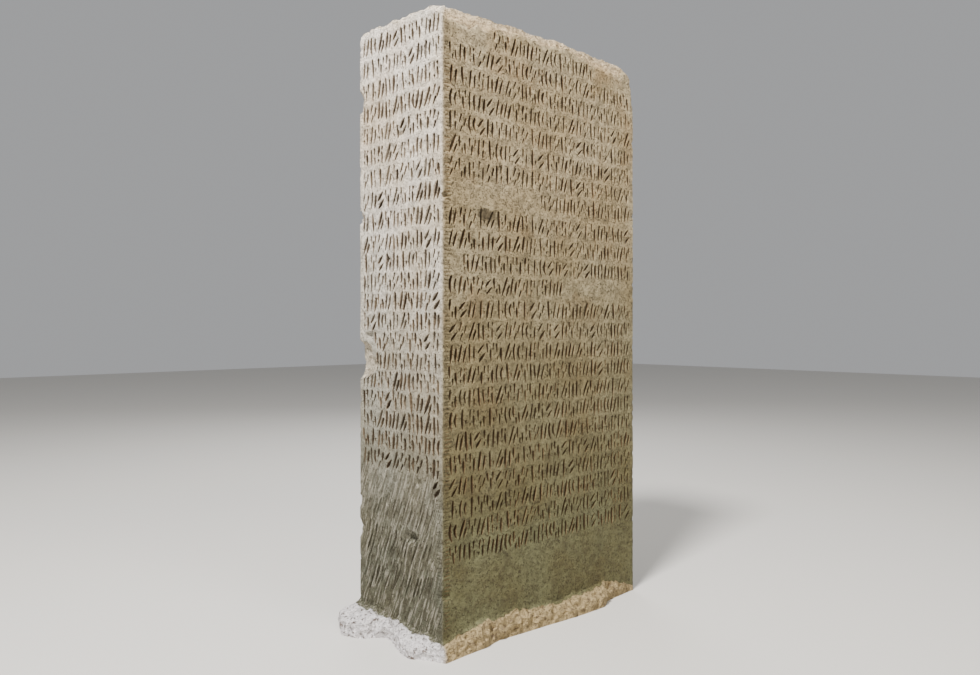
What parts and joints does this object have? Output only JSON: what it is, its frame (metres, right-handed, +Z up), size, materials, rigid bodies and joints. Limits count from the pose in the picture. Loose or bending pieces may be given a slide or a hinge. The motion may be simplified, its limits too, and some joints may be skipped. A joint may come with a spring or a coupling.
{
  "type": "carved stone stele",
  "caption": "Upright slab of weathered limestone with a rough flared foot, a broken top corner and two faces cut with rows of shallow strokes.",
  "frame": {"origin": "middle of the slab's footprint at ground level, on the flat underside", "axes": "+Z up, +X along the width to the right of the wide inscribed face, +Y from that face to the back"},
  "size_m": [0.622, 0.302, 1.1322],
  "materials": {
    "stone": "weathered, dry, unpolished"
  },
  "bodies": {
    "root": {"stele": "stone"}
  },
  "joints": []
}
